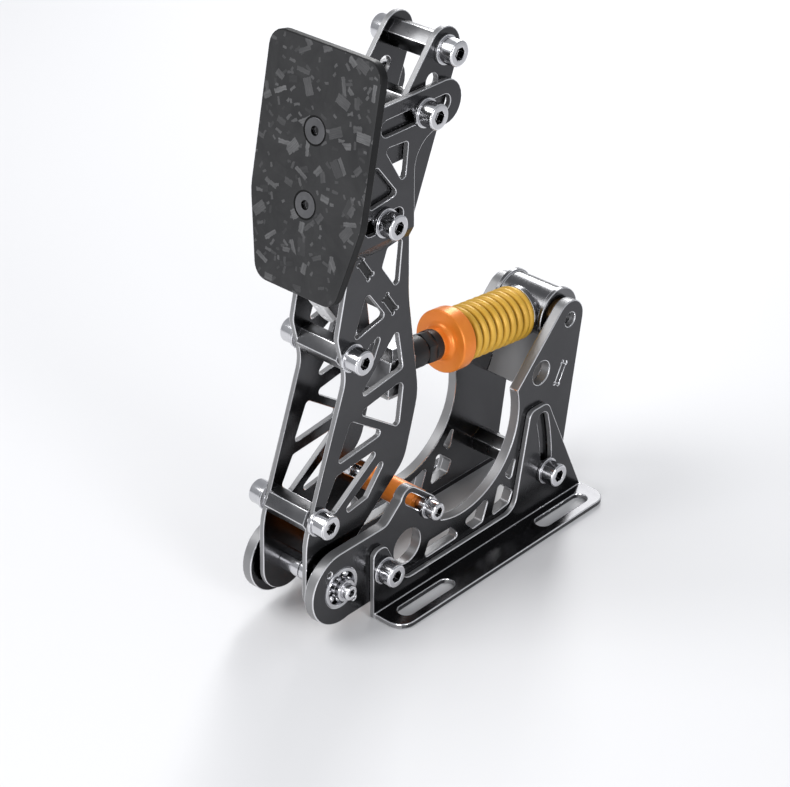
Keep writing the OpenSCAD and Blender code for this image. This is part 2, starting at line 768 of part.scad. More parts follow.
module rod_eye() {
    top = -12;
    low = 17;
    color([0.45, 0.45, 0.47]) difference() {
        on_rod() intersection() {
            translate([0, eye_half, 0]) rotate([90, 0, 0]) linear_extrude(2 * eye_half)
                polygon([[top + 5, -9], [top, -4], [top, 4], [top + 6, cell_at], [low - 9, cell_at],
                    [low, 3], [low, -3], [low - 6, -9]]);
            translate([0, 0, -10]) linear_extrude(cell_at + 12)
                polygon([[top, 4 - eye_half], [top + 4, -eye_half], [low - 5, -eye_half], [low, 5 - eye_half],
                    [low, eye_half - 5], [low - 5, eye_half], [top + 4, eye_half], [top, eye_half - 4]]);
        }
        leftward(pin_at, -eye_half - 1) cylinder(d = pin_d + 4 + 2 * seat_fit, h = 2 * eye_half + 2);
    }
}

module rod_bush() {
    color([0.62, 0.45, 0.20]) leftward(pin_at, -eye_half)
        ring(pin_d + 4, pin_d + 2 * run_fit, 2 * eye_half);
}

module load_cell() {
    color([0.08, 0.08, 0.09]) on_rod() translate([0, 0, cell_at]) {
        cylinder(d1 = cell_d - 2, d2 = cell_d, h = 1);
        translate([0, 0, 1]) cylinder(d = cell_d, h = cell_len - 2);
        translate([0, 0, cell_len - 1]) cylinder(d1 = cell_d, d2 = cell_d - 2, h = 1);
    }
}

module lock_nut() {
    color([0.20, 0.20, 0.21]) on_rod() translate([0, 0, nut_at]) difference() {
        cylinder(d = (cell_d - 1) / cos(30), h = 6, $fn = 6);
        translate([0, 0, -1]) cylinder(d = rod_d + 2 * seat_fit, h = 8);
    }
}

module preload_sleeve() {
    color([0.08, 0.08, 0.09]) on_rod() translate([0, 0, sleeve_at])
        ring(cell_d, rod_d + 2 * seat_fit, cup_at - sleeve_at);
}

module guide_rod() {
    color([0.62, 0.62, 0.64]) on_rod() translate([0, 0, nut_at])
        cylinder(d = rod_d, h = rod_len + 11 - nut_at);
}

module spring_cup() {
    rim = cup_d / 2;
    hub = cell_d / 2;
    bore = rod_d / 2 + seat_fit;
    color([0.78, 0.36, 0.09]) on_rod() rotate_extrude() polygon(concat(
        [[bore, cup_at], [hub, cup_at], [hub, cup_face - 3]],
        arc([hub + 3, cup_face - 3], 3, 170, 90, 5),
        [[rim - 0.6, cup_face], [rim, cup_face + 0.6], [rim, cup_face + cup_rim],
            [spring_d / 2 + 0.4, cup_face + cup_rim], [spring_d / 2 + 0.4, cup_floor], [bore, cup_floor]]));
}

// Spring wire along a helix whose ends turn square onto the seats

coil_rings = round(8 * spring_turns);
coil_low = cup_floor + wire_d + 0.1;
coil_high = seat_at - wire_d - 0.3;
coil_pitch = (coil_high - coil_low) / spring_turns;
function coil_at(i) = [spring_r * cos(45 * i), spring_r * sin(45 * i), coil_low + coil_pitch * i / 8];
coil_path = concat(
    [[spring_r, 0, cup_floor + 0.1]],
    [for (i = [0:coil_rings]) coil_at(i)],
    [[spring_r * cos(45 * coil_rings), spring_r * sin(45 * coil_rings), seat_at - 0.3]]);
function coil_turn(i) = 45 * max(0, min(coil_rings, i - 1));
function coil_run(i) = unit(coil_path[min(len(coil_path) - 1, i + 1)] - coil_path[max(0, i - 1)]);
function coil_ring(i) =
    let (e = [cos(coil_turn(i)), sin(coil_turn(i)), 0], b = unit(cross(coil_run(i), e)))
    [for (k = [0:5]) coil_path[i] + wire_d / 2 * (cos(60 * k) * e + sin(60 * k) * b)];
coil_last = len(coil_path) - 1;
coil_gap = min([for (i = [0:coil_rings - 8]) norm(coil_at(i + 8) - coil_at(i))]) - wire_d;
echo(str("least gap between turns ", coil_gap));

module coil_spring() {
    color([0.88, 0.66, 0.15]) on_rod() polyhedron(
        [for (i = [0:coil_last]) each coil_ring(i)],
        concat(
            [for (i = [0:coil_last - 1], k = [0:5]) [6 * i + k, 6 * i + 6 + k, 6 * i + 6 + (k + 1) % 6]],
            [for (i = [0:coil_last - 1], k = [0:5]) [6 * i + k, 6 * i + 6 + (k + 1) % 6, 6 * i + (k + 1) % 6]],
            [for (k = [1:4]) [0, k, k + 1]],
            [for (k = [1:4]) [6 * coil_last, 6 * coil_last + k + 1, 6 * coil_last + k]]));
}

// Trunnion

barrel_half = base_in - 4.5;

module trunnion() {
    color([0.55, 0.55, 0.57]) difference() {
        union() {
            leftward(tip, -barrel_half) cylinder(d = barrel_d, h = 2 * barrel_half);
            both_sides() leftward(tip, barrel_half) cylinder(d = barrel_d + 2.4, h = 2.5);
            leftward(tip, -base_in - journal_in) cylinder(d = journal_d, h = 2 * (base_in + journal_in));
        }
        on_rod() translate([0, 0, rod_len - 30]) cylinder(d = rod_d + 2 * rod_room, h = 60);
    }
}

module rear_spring_seat() {
    color([0.45, 0.45, 0.47]) difference() {
        on_rod() translate([0, 0, seat_at]) ring(2 * barrel_half - 0.4, rod_d + 2 * rod_room, 4);
        leftward(tip, -base_in) cylinder(d = barrel_d + 2 * seat_fit, h = 2 * base_in);
    }
}

module trunnion_washers() {
    color([0.62, 0.45, 0.20]) both_sides() leftward(tip, barrel_half + 2.5)
        ring(journal_d + 10, journal_d + 2 * seat_fit, base_in - barrel_half - 2.5 - slide_gap);
}

floor_bracket_left();
floor_bracket_right();
base_plate_left();
base_plate_right();
front_cross_bar();
rear_cross_bar();
tower_tie_plate();
frame_bolts();
frame_washers();
bearing_outer_rings();
bearing_balls();
stop_bar();
stop_bolts();
stop_washers();
arm_plate_left();
arm_plate_right();
middle_bar();
lower_bar();
arm_tie_plate();
pivot_shaft();
pivot_sleeves();
shaft_spacers();
shaft_collars();
bearing_inner_rings();
arm_bolts();
arm_washers();
rod_pin();
pin_spacers();
carrier_left();
carrier_right();
carrier_top_bar();
upper_clamp_bar();
lower_clamp_bar();
carrier_bolts();
carrier_washers();
face_mount_plate();
face_plate();
face_screws();
rod_eye();
rod_bush();
load_cell();
lock_nut();
preload_sleeve();
guide_rod();
spring_cup();
coil_spring();
trunnion();
rear_spring_seat();
trunnion_washers();
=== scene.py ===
# A single racing pedal that stands on two slotted floor brackets: dark polished sheet plates with
# bright edges, socket bolts, orange anodised bars and spring cup, a golden spring and a face of
# pressed carbon chips.
import bpy
import bmesh
import math
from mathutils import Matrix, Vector


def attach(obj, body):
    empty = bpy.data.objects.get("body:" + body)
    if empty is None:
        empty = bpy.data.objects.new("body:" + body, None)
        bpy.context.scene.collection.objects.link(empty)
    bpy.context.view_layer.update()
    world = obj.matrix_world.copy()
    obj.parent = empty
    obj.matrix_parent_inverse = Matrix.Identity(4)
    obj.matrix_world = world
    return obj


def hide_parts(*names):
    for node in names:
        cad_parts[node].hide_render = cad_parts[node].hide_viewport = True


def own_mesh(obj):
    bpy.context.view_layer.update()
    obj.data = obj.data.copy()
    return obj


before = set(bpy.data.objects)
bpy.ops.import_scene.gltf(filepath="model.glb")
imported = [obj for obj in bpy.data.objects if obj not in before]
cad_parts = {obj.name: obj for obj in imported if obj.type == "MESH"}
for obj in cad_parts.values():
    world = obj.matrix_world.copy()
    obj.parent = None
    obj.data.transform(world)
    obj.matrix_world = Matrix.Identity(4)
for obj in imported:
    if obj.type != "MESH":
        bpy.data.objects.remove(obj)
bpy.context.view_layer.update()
scene = bpy.context.scene
scene.view_settings.view_transform = "Standard"

# Camera. It stands in front of the pedal, to the driver's right and above, with a long lens, so the
# face, the near side of the arm and the whole near bracket are in view.
camera_data = bpy.data.cameras.new("pedal_camera")
camera_data.sensor_width = 36.0
camera_data.lens = 108.4
camera_data.clip_start = 0.05
camera = bpy.data.objects.new("pedal_camera", camera_data)
scene.collection.objects.link(camera)
camera.location = (-0.8017, -0.7040, 0.7275)
camera_aim = Vector((-0.0456, -0.0069, 0.1091))
camera.rotation_euler = (camera_aim - camera.location).to_track_quat("-Z", "Y").to_euler()
scene.camera = camera

# Studio. A pale floor that runs far back, a pale even sky, one large soft lamp over the driver's left
# shoulder, a tall one on the right, a low one in front and a narrow one behind that draws the edges.
floor_half = 6
floor_drop = 0.0004
floor_corners = [(x * floor_half, y * floor_half, 0) for x, y in ((-1, -1), (1, -1), (1, 1), (-1, 1))]
floor_mesh = bpy.data.meshes.new("studio_floor")
floor_mesh.from_pydata(floor_corners, [], [(0, 1, 2, 3)])
floor = bpy.data.objects.new("studio_floor", floor_mesh)
floor.location.z = -floor_drop
scene.collection.objects.link(floor)
floor_paint = bpy.data.materials.new("floor_paint")
floor_paint.use_nodes = True
floor_shader = floor_paint.node_tree.nodes["Principled BSDF"]
floor_shader.inputs["Base Color"].default_value = (0.74, 0.74, 0.75, 1)
floor_shader.inputs["Roughness"].default_value = 0.6
floor_mesh.materials.append(floor_paint)
scene.world = bpy.data.worlds.new("studio_sky")
scene.world.use_nodes = True
sky = scene.world.node_tree.nodes["Background"]
sky.inputs["Color"].default_value = (0.86, 0.88, 0.92, 1)
sky.inputs["Strength"].default_value = 0.5
for lamp_name, place, aim, wide, tall, power in (
        ("key_softbox", (-0.9, 0.55, 1.35), (-0.05, 0, 0.15), 0.9, 0.9, 15),
        ("side_softbox", (-0.35, -1.5, 0.75), (-0.03, 0, 0.12), 0.5, 1.1, 9),
        ("front_card", (-1.3, -0.75, 0.35), (-0.04, 0, 0.1), 0.5, 0.4, 8),
        ("rim_strip", (0.9, 0.6, 0.9), (0.0, 0, 0.15), 0.25, 1.2, 10)):
    lamp = bpy.data.lights.new(lamp_name, "AREA")
    lamp.shape = "RECTANGLE"
    lamp.size = wide
    lamp.size_y = tall
    lamp.energy = power
    stand = bpy.data.objects.new(lamp_name, lamp)
    scene.collection.objects.link(stand)
    stand.location = place
    stand.rotation_euler = (Vector(aim) - Vector(place)).to_track_quat("-Z", "Y").to_euler()


# Floor brackets. Two strips of stainless sheet, laser cut and bent once, so that a slotted flange
# lies on the deck and a web with a lug and a slotted tower stands up. Polished dark; the cut edges
# are paler and broken.
def add_nodes(tree, *kinds):
    return [tree.nodes.new(kind) for kind in kinds]


def new_finish(name, metallic):
    finish = bpy.data.materials.new(name)
    finish.use_nodes = True
    shader = finish.node_tree.nodes["Principled BSDF"]
    shader.inputs["Metallic"].default_value = metallic
    return finish, finish.node_tree, shader


def place_group(tree, group, **values):
    placed = tree.nodes.new("ShaderNodeGroup")
    placed.node_tree = group
    for name, value in values.items():
        placed.inputs[name].default_value = value
    return placed


seam_gap = 0.000002
edge_angle = math.radians(35)
flat_angle = math.radians(22)
grain_height = 0.0002
flange_top = 0.0034


# The flats of a piece stay flat, and each sharp edge is broken by a narrow band in the edge's own finish.
def dress(names, finish, edge_finish, edge):
    for name in names:
        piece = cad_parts[name]
        piece.data.materials.clear()
        piece.data.materials.append(finish)
        piece.data.materials.append(edge_finish)
        piece.data.polygons.foreach_set("material_index", [0] * len(piece.data.polygons))
        piece.data.polygons.foreach_set("use_smooth", [True] * len(piece.data.polygons))
        weld = piece.modifiers.new("join_faces", "WELD")
        weld.merge_threshold = seam_gap
        broken = piece.modifiers.new("broken_edge", "BEVEL")
        broken.width = edge
        broken.segments = 2
        broken.limit_method = "ANGLE"
        broken.angle_limit = edge_angle
        broken.use_clamp_overlap = False
        broken.loop_slide = False
        broken.material = 1
        crisp = piece.modifiers.new("crisp_flats", "EDGE_SPLIT")
        crisp.split_angle = flat_angle


handling = bpy.data.node_groups.new("handling_marks", "ShaderNodeTree")
for socket, value in (("Size", 40.0), ("Low", 0.2), ("High", 0.4)):
    added = handling.interface.new_socket(socket, in_out="INPUT", socket_type="NodeSocketFloat")
    added.default_value = value
handling.interface.new_socket("Value", in_out="OUTPUT", socket_type="NodeSocketFloat")
h_in, h_out, h_place, h_cloud, h_range = add_nodes(
    handling, "NodeGroupInput", "NodeGroupOutput", "ShaderNodeTexCoord", "ShaderNodeTexNoise",
    "ShaderNodeMapRange")
h_cloud.inputs["Detail"].default_value = 6.0
h_cloud.inputs["Roughness"].default_value = 0.62
h_cloud.inputs["Distortion"].default_value = 0.6
h_range.inputs["From Min"].default_value = 0.32
h_range.inputs["From Max"].default_value = 0.7
handling.links.new(h_place.outputs["Object"], h_cloud.inputs["Vector"])
handling.links.new(h_in.outputs["Size"], h_cloud.inputs["Scale"])
handling.links.new(h_cloud.outputs["Fac"], h_range.inputs["Value"])
handling.links.new(h_in.outputs["Low"], h_range.inputs["To Min"])
handling.links.new(h_in.outputs["High"], h_range.inputs["To Max"])
handling.links.new(h_range.outputs["Result"], h_out.inputs["Value"])

grain = bpy.data.node_groups.new("drawn_grain", "ShaderNodeTree")
grain.interface.new_socket("Stretch", in_out="INPUT", socket_type="NodeSocketVector")
grain.interface.new_socket("Height", in_out="OUTPUT", socket_type="NodeSocketFloat")
g_in, g_out, g_place, g_scale, g_lines = add_nodes(
    grain, "NodeGroupInput", "NodeGroupOutput", "ShaderNodeTexCoord", "ShaderNodeVectorMath",
    "ShaderNodeTexNoise")
g_scale.operation = "MULTIPLY"
g_lines.inputs["Scale"].default_value = 1.0
g_lines.inputs["Detail"].default_value = 3.0
grain.links.new(g_place.outputs["Object"], g_scale.inputs[0])
grain.links.new(g_in.outputs["Stretch"], g_scale.inputs[1])
grain.links.new(g_scale.outputs["Vector"], g_lines.inputs["Vector"])
grain.links.new(g_lines.outputs["Fac"], g_out.inputs["Height"])


def metal_finish(name, dark, pale, cloud_size, shiny, dull, stretch, depth, metallic=1.0):
    finish, tree, shader = new_finish(name, metallic)
    marks = place_group(tree, handling, Size=cloud_size * 2.0, Low=shiny, High=dull)
    cloud = place_group(tree, handling, Size=cloud_size, Low=0.0, High=1.0)
    lines = place_group(tree, grain, Stretch=stretch)
    tint, dent = add_nodes(tree, "ShaderNodeMix", "ShaderNodeBump")
    tint.data_type = "RGBA"
    tint.inputs["A"].default_value = (*dark, 1)
    tint.inputs["B"].default_value = (*pale, 1)
    dent.inputs["Strength"].default_value = depth
    dent.inputs["Distance"].default_value = grain_height
    tree.links.new(cloud.outputs["Value"], tint.inputs["Factor"])
    tree.links.new(tint.outputs["Result"], shader.inputs["Base Color"])
    tree.links.new(marks.outputs["Value"], shader.inputs["Roughness"])
    tree.links.new(lines.outputs["Height"], dent.inputs["Height"])
    tree.links.new(dent.outputs["Normal"], shader.inputs["Normal"])
    return finish


bright_edge = metal_finish(
    "broken_bright_edge", dark=(0.72, 0.72, 0.74), pale=(0.84, 0.84, 0.86),
    cloud_size=60.0, shiny=0.18, dull=0.30, stretch=(900.0, 900.0, 900.0), depth=0.04)
# The flats of the sheet are polished dark; the cut faces between them are paler and duller.
sheet_steel, tree, shader = new_finish("polished_dark_sheet", 1.0)
facing, split, away, place, low, lie, flat_up, either, flat_side = add_nodes(
    tree, "ShaderNodeNewGeometry", "ShaderNodeSeparateXYZ", "ShaderNodeMath", "ShaderNodeTexCoord",
    "ShaderNodeSeparateXYZ", "ShaderNodeMath", "ShaderNodeMath", "ShaderNodeMath", "ShaderNodeMapRange")
tone, polish, rough, metal, dent = add_nodes(
    tree, "ShaderNodeMix", "ShaderNodeMix", "ShaderNodeMix", "ShaderNodeMapRange", "ShaderNodeBump")
away.operation = "ABSOLUTE"
lie.operation = "LESS_THAN"
lie.inputs[1].default_value = flange_top
flat_up.operation = "MULTIPLY"
either.operation = "MAXIMUM"
flat_side.inputs["From Min"].default_value = 0.70
flat_side.inputs["From Max"].default_value = 0.85
tone.data_type = "RGBA"
tone.inputs["A"].default_value = (0.24, 0.24, 0.245, 1)
polish.data_type = "RGBA"
polish.inputs["A"].default_value = (0.055, 0.055, 0.058, 1)
polish.inputs["B"].default_value = (0.085, 0.085, 0.089, 1)
rough.data_type = "FLOAT"
rough.inputs["A"].default_value = 0.38
metal.inputs["To Min"].default_value = 0.55
smears = place_group(tree, handling, Size=26.0, Low=0.15, High=0.27)
shades = place_group(tree, handling, Size=9.0, Low=0.0, High=1.0)
scores = place_group(tree, grain, Stretch=(2600.0, 60.0, 2600.0))
dent.inputs["Strength"].default_value = 0.04
dent.inputs["Distance"].default_value = grain_height
tree.links.new(facing.outputs["True Normal"], split.inputs["Vector"])
tree.links.new(split.outputs["Y"], away.inputs[0])
tree.links.new(place.outputs["Object"], low.inputs["Vector"])
tree.links.new(low.outputs["Z"], lie.inputs[0])
tree.links.new(lie.outputs["Value"], flat_up.inputs[0])
tree.links.new(split.outputs["Z"], flat_up.inputs[1])
tree.links.new(away.outputs["Value"], either.inputs[0])
tree.links.new(flat_up.outputs["Value"], either.inputs[1])
tree.links.new(either.outputs["Value"], flat_side.inputs["Value"])
tree.links.new(flat_side.outputs["Result"], tone.inputs["Factor"])
tree.links.new(shades.outputs["Value"], polish.inputs["Factor"])
tree.links.new(polish.outputs["Result"], tone.inputs["B"])
tree.links.new(flat_side.outputs["Result"], rough.inputs["Factor"])
tree.links.new(flat_side.outputs["Result"], metal.inputs["Value"])
tree.links.new(metal.outputs["Result"], shader.inputs["Metallic"])
tree.links.new(smears.outputs["Value"], rough.inputs["B"])
tree.links.new(tone.outputs["Result"], shader.inputs["Base Color"])
tree.links.new(rough.outputs["Result"], shader.inputs["Roughness"])
tree.links.new(scores.outputs["Height"], dent.inputs["Height"])
tree.links.new(dent.outputs["Normal"], shader.inputs["Normal"])
dress(("floor_bracket_left", "floor_bracket_right"), sheet_steel, bright_edge, edge=0.00045)

# Side plates and tower tie plate. Cut from thicker sheet of the same polish; the tie plate's tabs are
# pressed into slots in the two towers and keep them apart.
dress(("base_plate_left", "base_plate_right", "tower_tie_plate"), sheet_steel, bright_edge, edge=0.0005)

# Cross bars of the frame. The front one is turned from aluminium and anodised orange; the rear one is
# a length of drawn hexagon steel, left satin with the lines of the die along it.
orange = metal_finish(
    "orange_anodised", dark=(0.70, 0.18, 0.018), pale=(0.82, 0.25, 0.03),
    cloud_size=35.0, shiny=0.28, dull=0.42, stretch=(2800.0, 120.0, 120.0), depth=0.06, metallic=0.3)
dress(("front_cross_bar",), orange, orange, edge=0.0005)
bar_steel = metal_finish(
    "satin_bar_steel", dark=(0.14, 0.14, 0.145), pale=(0.20, 0.20, 0.205),
    cloud_size=30.0, shiny=0.24, dull=0.38, stretch=(3200.0, 90.0, 3200.0), depth=0.08)
dress(("rear_cross_bar",), bar_steel, bright_edge, edge=0.0004)

# Frame bolts and washers. Socket bolts, cold headed, turned under the head and polished, with painted
# shade darkening their sockets; they clamp the side plates between the brackets and the cross bars,
# and let the frame tilt.
bolt_steel = metal_finish(
    "bright_bolt_steel", dark=(0.54, 0.54, 0.56), pale=(0.68, 0.68, 0.70),
    cloud_size=45.0, shiny=0.12, dull=0.24, stretch=(500.0, 4200.0, 500.0), depth=0.05)
bolts_with_sockets = ("frame_bolts", "stop_bolts", "arm_bolts", "carrier_bolts", "pivot_shaft")
# Shares of a head's radius: how deep the painted shade's middle lies under the head, and how far it
# reaches.
socket_depth = 0.3
socket_reach = 0.6


# The heads on the left, found from the bolts' own solids; the finish mirrors them to the right.
def left_heads(name):
    solids = bmesh.new()
    solids.from_mesh(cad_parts[name].data)
    bmesh.ops.remove_doubles(solids, verts=solids.verts, dist=seam_gap)
    seen = set()
    heads = []
    for start in solids.verts:
        if start in seen:
            continue
        bolt = [start]
        seen.add(start)
        for vert in bolt:
            for edge in vert.link_edges:
                beside = edge.other_vert(vert)
                if beside not in seen:
                    seen.add(beside)
                    bolt.append(beside)
        low = [min(vert.co[axis] for vert in bolt) for axis in range(3)]
        high = [max(vert.co[axis] for vert in bolt) for axis in range(3)]
        head = (high[0] - low[0]) / 2
        if high[1] > 0:
            middle = ((low[0] + high[0]) / 2, high[1] - socket_depth * head, (low[2] + high[2]) / 2)
            heads.append((middle, socket_reach * head))
    solids.free()
    return heads


tree = bolt_steel.node_tree
shader = tree.nodes["Principled BSDF"]
bare = shader.inputs["Base Color"].links[0].from_socket
# Painted shade: near the middle of each socket the base colour is mixed to near black, standing for shade
# in the recess.
place, axes, mirrored, folded, socket_shade_mix = add_nodes(
    tree, "ShaderNodeTexCoord", "ShaderNodeSeparateXYZ", "ShaderNodeMath", "ShaderNodeCombineXYZ",
    "ShaderNodeMix")
mirrored.operation = "ABSOLUTE"
socket_shade_mix.data_type = "RGBA"
socket_shade_mix.inputs["B"].default_value = (0.040, 0.040, 0.041, 1)
tree.links.new(place.outputs["Object"], axes.inputs["Vector"])
tree.links.new(axes.outputs["Y"], mirrored.inputs[0])
tree.links.new(axes.outputs["X"], folded.inputs["X"])
tree.links.new(mirrored.outputs["Value"], folded.inputs["Y"])
tree.links.new(axes.outputs["Z"], folded.inputs["Z"])
shaded_socket_mask = None
for name in bolts_with_sockets:
    for middle, reach in left_heads(name):
        gap, within = add_nodes(tree, "ShaderNodeVectorMath", "ShaderNodeMath")
        gap.operation = "DISTANCE"
        gap.inputs[1].default_value = middle
        within.operation = "LESS_THAN"
        within.inputs[1].default_value = reach
        tree.links.new(folded.outputs["Vector"], gap.inputs[0])
        tree.links.new(gap.outputs["Value"], within.inputs[0])
        if shaded_socket_mask:
            both = tree.nodes.new("ShaderNodeMath")
            both.operation = "MAXIMUM"
            tree.links.new(shaded_socket_mask, both.inputs[0])
            tree.links.new(within.outputs["Value"], both.inputs[1])
            within = both
        shaded_socket_mask = within.outputs["Value"]
tree.links.new(shaded_socket_mask, socket_shade_mix.inputs["Factor"])
tree.links.new(bare, socket_shade_mix.inputs["A"])
tree.links.new(socket_shade_mix.outputs["Result"], shader.inputs["Base Color"])
dress(("frame_bolts", "frame_washers"), bolt_steel, bright_edge, edge=0.0003)

# Pivot. Two ball bearings pressed in the side plates carry a ground shaft with a hexagon socket in
# each end; sleeves, spacers and collars on it keep the arm in the middle.
dress(("bearing_outer_rings", "bearing_inner_rings"), bolt_steel, bright_edge, edge=0.0002)
dress(("bearing_balls",), bolt_steel, bolt_steel, edge=0.0001)
dress(("pivot_shaft", "pivot_sleeves"), bolt_steel, bright_edge, edge=0.0003)
dress(("shaft_spacers", "shaft_collars"), bolt_steel, bright_edge, edge=0.0003)

# Stop. An orange anodised bar with a small socket bolt and washer at each end, clamped in the slanted
# slots of the side plates, where it ends the swing of the arm.
dress(("stop_bar",), orange, orange, edge=0.0005)
dress(("stop_bolts", "stop_washers"), bolt_steel, bright_edge, edge=0.0003)

# Arm. Two plates with a lattice of windows, joggled outward near the top, on hexagon bars and a tie
# plate whose tabs end a little under the outer faces; all held by socket bolts.
dress(("arm_plate_left", "arm_plate_right"), sheet_steel, bright_edge, edge=0.0004)
black = metal_finish(
    "satin_black", dark=(0.010, 0.010, 0.011), pale=(0.018, 0.018, 0.019),
    cloud_size=40.0, shiny=0.34, dull=0.50, stretch=(900.0, 900.0, 900.0), depth=0.05, metallic=0.4)
# The tie plate takes the satin black so its tab ends, under the arm plates' outer faces, show as dark
# slots: painted shade in the slots.
dress(("arm_tie_plate",), black, black, edge=0.0003)
dress(("middle_bar", "lower_bar"), bar_steel, bright_edge, edge=0.0004)
dress(("arm_bolts", "arm_washers"), bolt_steel, bright_edge, edge=0.0003)

# Rod pin and clevis. A hardened pin, held in blind holes on the inside of the arm plates, carries the
# bronze bush of a faceted steel clevis.
bronze = metal_finish(
    "bearing_bronze", dark=(0.40, 0.22, 0.08), pale=(0.50, 0.30, 0.12),
    cloud_size=60.0, shiny=0.28, dull=0.48, stretch=(900.0, 900.0, 900.0), depth=0.05)
dress(("rod_pin", "pin_spacers"), sheet_steel, sheet_steel, edge=0.0002)
dress(("rod_eye",), bar_steel, bright_edge, edge=0.0004)
dress(("rod_bush",), bronze, bronze, edge=0.0002)

# Load cell, lock nut and preload sleeve. Steel bodies screwed on behind the clevis and blackened to a
# satin, even black.
dress(("load_cell", "lock_nut", "preload_sleeve"), black, black, edge=0.0004)

# Guide rod and spring cup. The ground rod runs back through the trunnion; the cup is turned from
# aluminium, anodised orange, and holds the front of the spring in its rim.
dress(("guide_rod",), bolt_steel, bright_edge, edge=0.0004)
dress(("spring_cup",), orange, orange, edge=0.0004)

# Coil spring. Round steel wire wound cold, with the last turn at each end closed and ground flat on
# its seat, then coated in a golden yellow. On the real pedal it shortens along the rod as the arm goes
# down; here it is built at one length and rides with the rod.
pin = Vector((-0.0461, 0, 0.1239))
trunnion_axis = Vector((0.072, 0, 0.1103))
along = (trunnion_axis - pin).normalized()
across = Vector((0, 1, 0))
upward = along.cross(across)
front_play = 0.0001
rear_play = 0.0002
cup_floor = 0.04654 + front_play
seat_face = 0.017
rear_seat = (trunnion_axis - pin).length - seat_face - rear_play
wire = 0.0020
coil_outer = 0.015
coil_mean = coil_outer - wire
turns = 10.6
closed_turns = 1.0
nesting = 0.8
closed_rise = nesting * 2 * wire
ground_share = 0.4
wire_end_angle = 0.6
turn_steps = 36
wire_sides = 12
coil_start = cup_floor + ground_share * wire
coil_stop = rear_seat - ground_share * wire


def coil_run(turn):
    if turn < closed_turns:
        return coil_start + turn * closed_rise
    if turn > turns - closed_turns:
        return coil_stop - (turns - turn) * closed_rise
    share = (turn - closed_turns) / (turns - 2 * closed_turns)
    closed_length = closed_turns * closed_rise
    return coil_start + closed_length + share * (coil_stop - coil_start - 2 * closed_length)


spring_mesh = bpy.data.meshes.new("spring_wire")
shell = bmesh.new()
wire_rings = []
for step in range(int(turns * turn_steps) + 1):
    turn = step / turn_steps
    angle = 2 * math.pi * turn + wire_end_angle
    spoke = across * math.cos(angle) + upward * math.sin(angle)
    ring = []
    for side in range(wire_sides):
        bend = 2 * math.pi * side / wire_sides
        depth = max(cup_floor, min(rear_seat, coil_run(turn) + wire * math.sin(bend)))
        ring.append(shell.verts.new(pin + along * depth + spoke * (coil_mean + wire * math.cos(bend))))
    wire_rings.append(ring)
for ring, after in zip(wire_rings, wire_rings[1:]):
    for side in range(wire_sides):
        beside = (side + 1) % wire_sides
        shell.faces.new((ring[side], ring[beside], after[beside], after[side]))
shell.faces.new(list(reversed(wire_rings[0])))
shell.faces.new(wire_rings[-1])
bmesh.ops.recalc_face_normals(shell, faces=shell.faces)
shell.to_mesh(spring_mesh)
shell.free()
spring_mesh.polygons.foreach_set("use_smooth", [True] * len(spring_mesh.polygons))
spring_mesh.set_sharp_from_angle(angle=math.radians(50))
spring = bpy.data.objects.new("spring_wire", spring_mesh)
scene.collection.objects.link(spring)
golden = metal_finish(
    "golden_spring_coat", dark=(0.54, 0.31, 0.032), pale=(0.66, 0.39, 0.050),
    cloud_size=48.0, shiny=0.34, dull=0.48, stretch=(1500.0, 1500.0, 1500.0), depth=0.05, metallic=0.2)
spring_mesh.materials.append(golden)
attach(spring, "rod")
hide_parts("coil_spring")
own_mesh(spring)

# Trunnion, rear seat and thrust washers. A steel barrel turned with a flange at each end rocks in the
# towers; the spring bears on a saddle against it, and bronze washers keep it off the side plates.
barrel_steel = metal_finish(
    "turned_barrel_steel", dark=(0.13, 0.13, 0.135), pale=(0.18, 0.18, 0.185),
    cloud_size=30.0, shiny=0.16, dull=0.28, stretch=(300.0, 3600.0, 300.0), depth=0.06)
dress(("trunnion", "rear_spring_seat"), barrel_steel, bright_edge, edge=0.0004)
dress(("trunnion_washers",), bronze, bronze, edge=0.0002)

# Face carrier. Two plates between the arm plates, joined by three hexagon bars and clamped through
# the slots of the arm by socket bolts; the bent mount plate is welded across their front.
dress(("carrier_left", "carrier_right"), sheet_steel, bright_edge, edge=0.0004)
mount_alloy = metal_finish(
    "satin_mount_alloy", dark=(0.70, 0.70, 0.71), pale=(0.80, 0.80, 0.81),
    cloud_size=40.0, shiny=0.42, dull=0.52, stretch=(1800.0, 60.0, 1800.0), depth=0.06, metallic=0.25)
dress(("face_mount_plate",), mount_alloy, mount_alloy, edge=0.0004)
dress(("carrier_top_bar", "upper_clamp_bar", "lower_clamp_bar"), bar_steel, bright_edge, edge=0.0004)
dress(("carrier_bolts", "carrier_washers"), bolt_steel, bright_edge, edge=0.0003)

